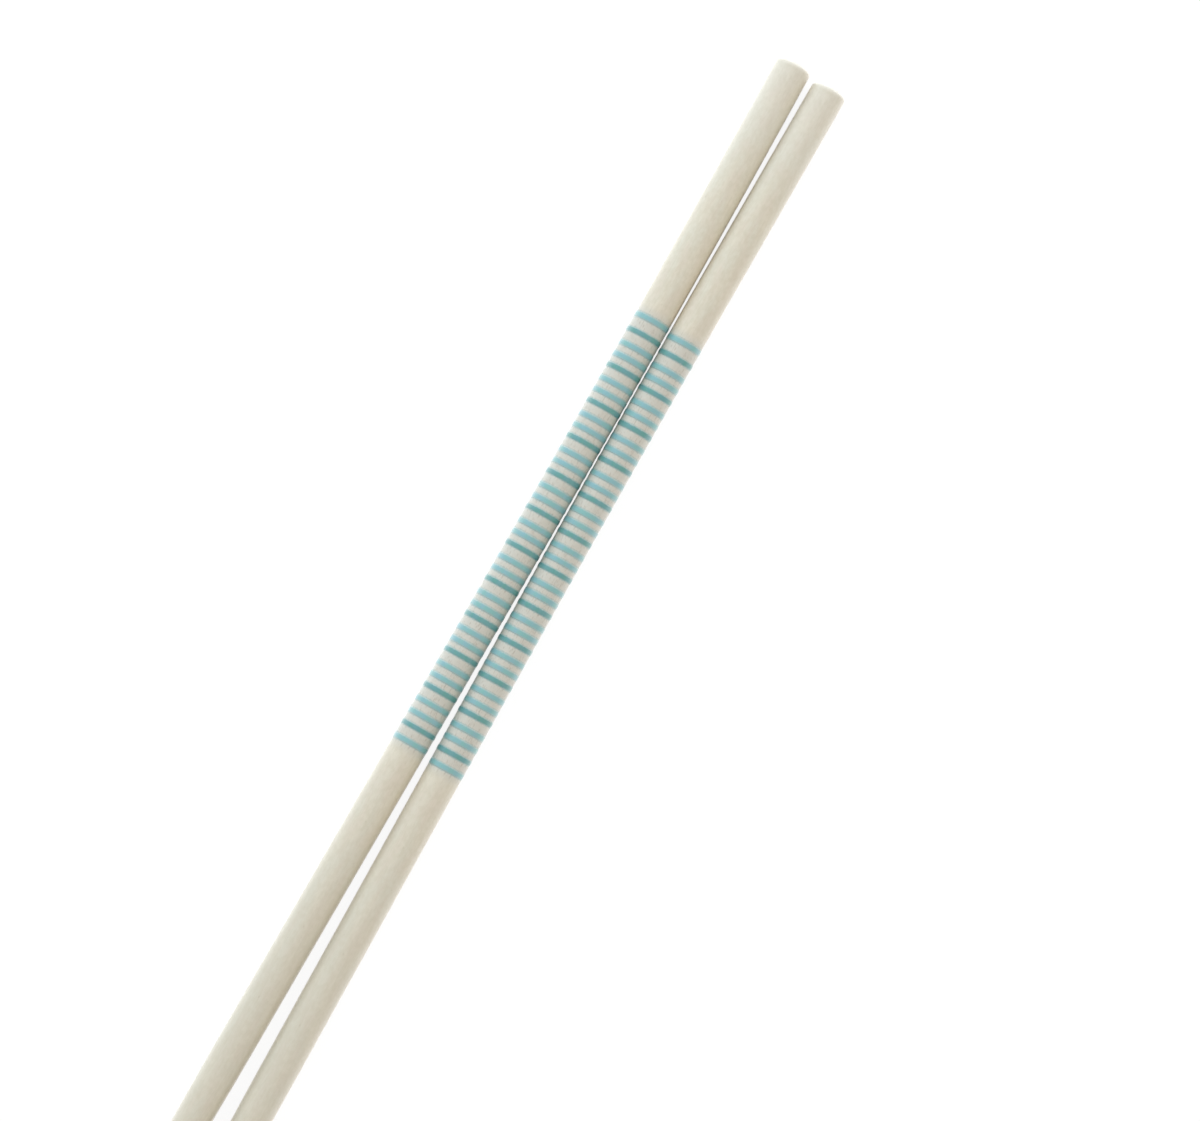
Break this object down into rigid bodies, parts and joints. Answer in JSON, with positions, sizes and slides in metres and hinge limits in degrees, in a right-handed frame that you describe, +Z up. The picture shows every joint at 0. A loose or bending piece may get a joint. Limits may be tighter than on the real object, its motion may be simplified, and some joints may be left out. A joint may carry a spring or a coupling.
{
  "type": "chopstick pair",
  "caption": "Long bamboo cooking chopsticks lying side by side, with light and dark painted grip lines and tapered tips.",
  "frame": {"origin": "on the table, under the middle of the pair", "axes": "+Y towards the rear ends, which the hand holds, -Y towards the tips, +Z up"},
  "size_m": [0.0178, 0.3308, 0.0076],
  "materials": {
    "bamboo": "satin",
    "light_paint": "satin",
    "dark_paint": "satin"
  },
  "bodies": {
    "root": {"left_stick": "bamboo", "right_stick": "bamboo", "left_light_lines": "light_paint", "right_light_lines": "light_paint", "left_dark_lines": "dark_paint", "right_dark_lines": "dark_paint"}
  },
  "joints": []
}
